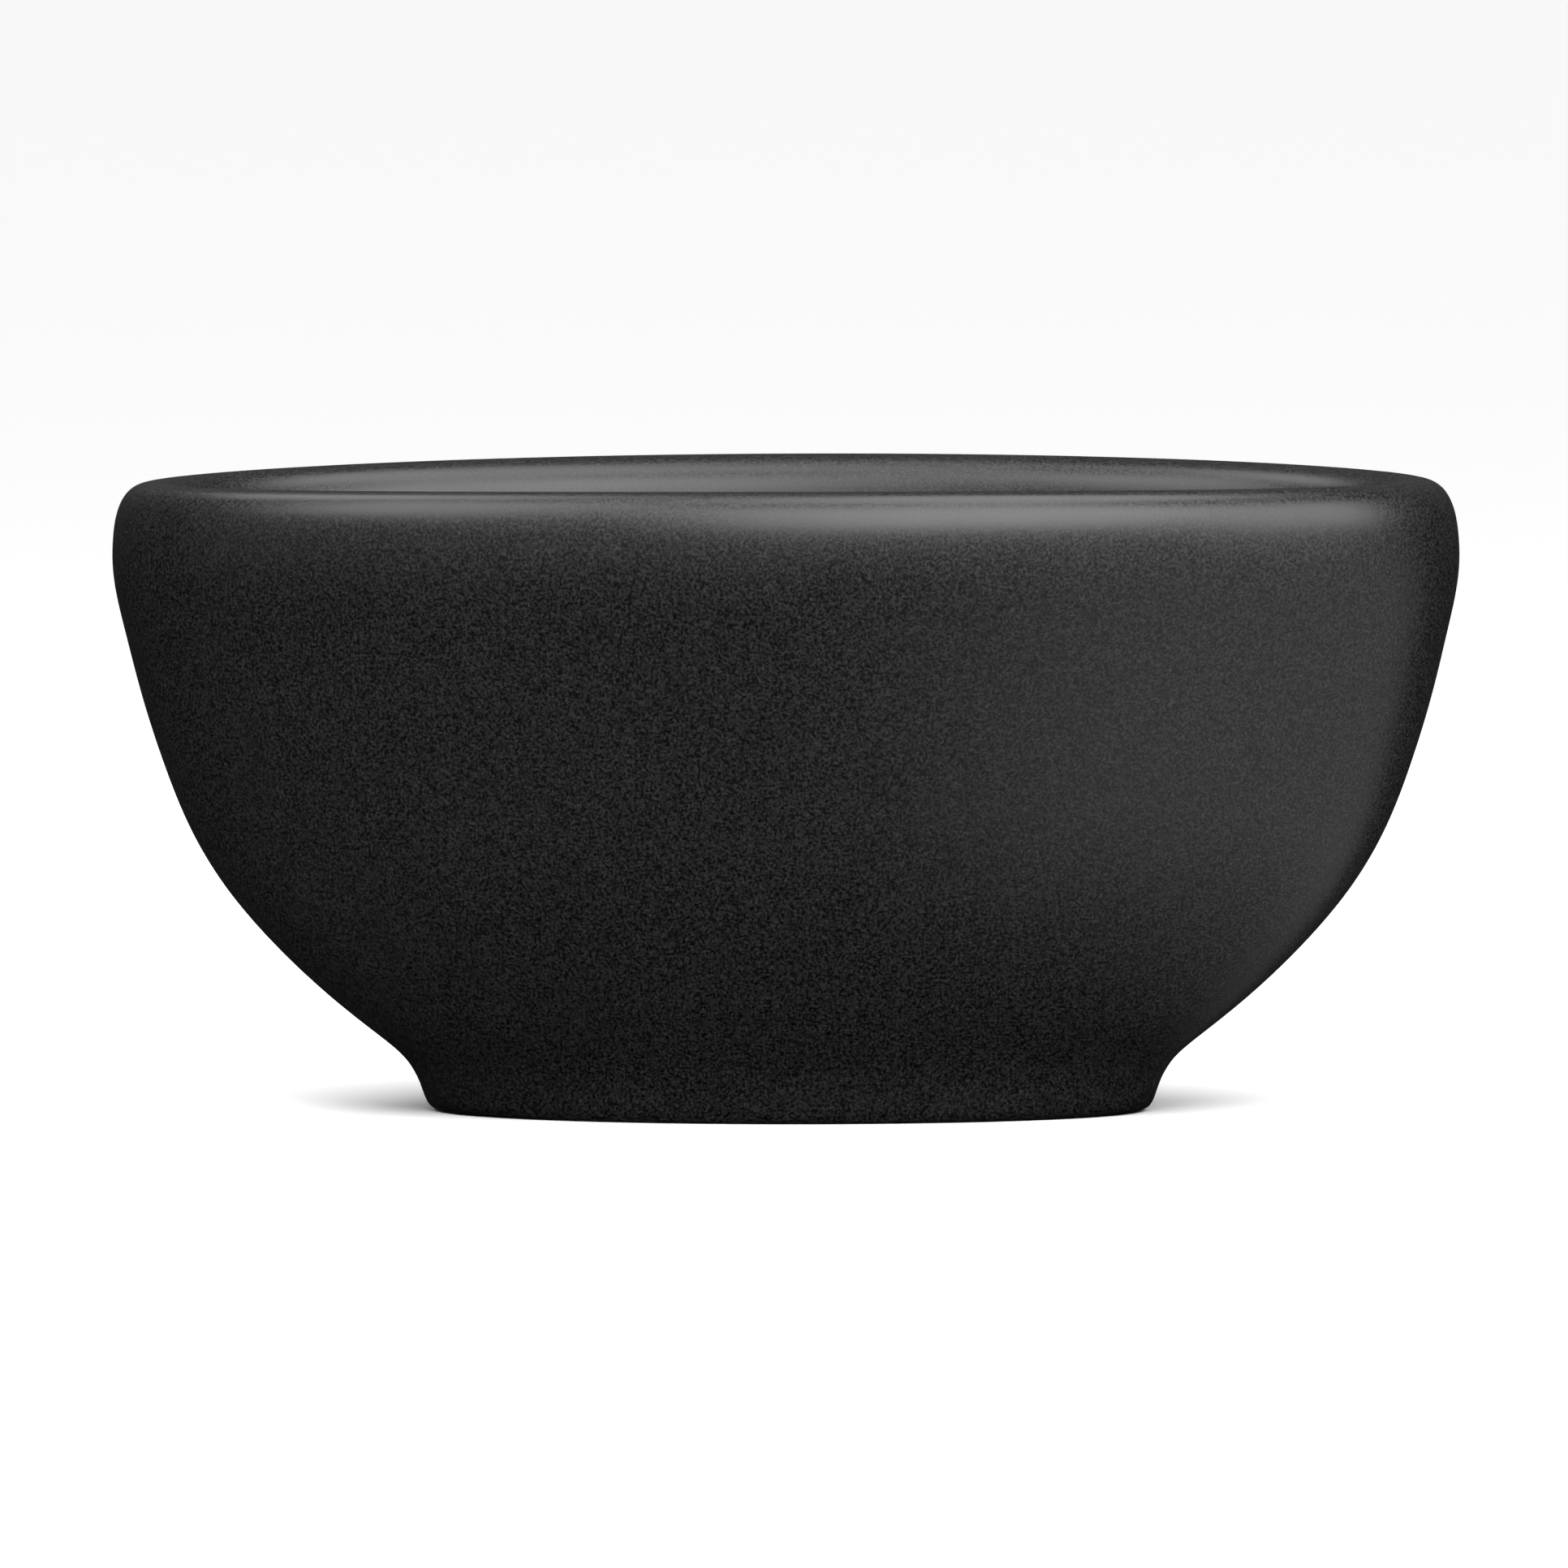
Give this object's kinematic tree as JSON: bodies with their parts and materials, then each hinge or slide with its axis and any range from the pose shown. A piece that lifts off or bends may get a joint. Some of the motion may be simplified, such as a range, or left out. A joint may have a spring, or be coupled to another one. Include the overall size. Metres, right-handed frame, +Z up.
{
  "type": "freestanding bathtub",
  "caption": "Oval double-ended freestanding bath with a thick rounded rim, on a small plinth, with levelling feet, push-down waste and overflow.",
  "frame": {"origin": "on the floor, under the centre of the bath and its waste", "axes": "+X along the length, +Y towards the long side that holds the overflow, +Z up"},
  "size_m": [1.5004, 0.7504, 0.707],
  "materials": {
    "shell": "satin black acrylic with a very fine grain",
    "laminate": "raw glass-fibre laminate",
    "plywood": "sealed plywood",
    "paste": "bonding paste",
    "frame_steel": "powder-coated steel tube",
    "black_plastic": "moulded",
    "zinc_steel": "zinc plated",
    "waste_metal": "satin black coating on brass",
    "seal_rubber": "moulded rubber",
    "brass": "turned",
    "spring_steel": "bright",
    "white_plastic": "moulded"
  },
  "bodies": {
    "bath": {"inner_basin": "shell", "outer_skirt": "shell", "basin_laminate": "laminate", "skirt_laminate": "laminate", "seam_tape": "laminate", "base_board": "plywood", "board_bedding": "paste", "frame_rail_front": "frame_steel", "frame_rail_back": "frame_steel", "frame_crossbar_left": "frame_steel", "frame_crossbar_right": "frame_steel", "frame_tube_caps": "black_plastic", "board_screws": "zinc_steel", "foot_weld_nuts": "zinc_steel", "foot_lock_nuts": "zinc_steel", "waste_flange": "waste_metal", "waste_top_seal": "seal_rubber", "waste_lower_seal": "seal_rubber", "waste_back_nut": "black_plastic", "plug_guide": "black_plastic", "plug_spring": "spring_steel", "waste_tee": "white_plastic", "tee_slip_nut": "black_plastic", "outlet_tailpiece": "white_plastic", "outlet_slip_nut": "black_plastic", "overflow_front_seal": "seal_rubber", "overflow_face": "black_plastic", "overflow_cover": "waste_metal", "overflow_rear_seal": "seal_rubber", "overflow_screws": "spring_steel", "overflow_elbow": "white_plastic", "overflow_pipe": "white_plastic", "pipe_clips": "spring_steel"},
    "plug": {"plug_cap": "waste_metal", "plug_seal": "seal_rubber", "plug_stem": "brass"},
    "levelling_foot_1": {"foot_stud_1": "zinc_steel", "foot_cup_1": "black_plastic", "foot_pad_1": "seal_rubber"},
    "levelling_foot_2": {"foot_stud_2": "zinc_steel", "foot_cup_2": "black_plastic", "foot_pad_2": "seal_rubber"},
    "levelling_foot_3": {"foot_stud_3": "zinc_steel", "foot_cup_3": "black_plastic", "foot_pad_3": "seal_rubber"},
    "levelling_foot_4": {"foot_stud_4": "zinc_steel", "foot_cup_4": "black_plastic", "foot_pad_4": "seal_rubber"}
  },
  "joints": [
    {"name": "plug_press", "type": "slide", "parent": "bath", "child": "plug", "axis": [0, 0, 1], "range_m": [-0.009, 0], "stiffness_N_per_m": 300, "springref_m": 0.008, "deforming": ["plug_spring"]},
    {"name": "foot_1_height", "type": "slide", "parent": "bath", "child": "levelling_foot_1", "axis": [0, 0, 1], "range_m": [-0.008, 0.008]},
    {"name": "foot_2_height", "type": "slide", "parent": "bath", "child": "levelling_foot_2", "axis": [0, 0, 1], "range_m": [-0.008, 0.008]},
    {"name": "foot_3_height", "type": "slide", "parent": "bath", "child": "levelling_foot_3", "axis": [0, 0, 1], "range_m": [-0.008, 0.008]},
    {"name": "foot_4_height", "type": "slide", "parent": "bath", "child": "levelling_foot_4", "axis": [0, 0, 1], "range_m": [-0.008, 0.008]}
  ]
}
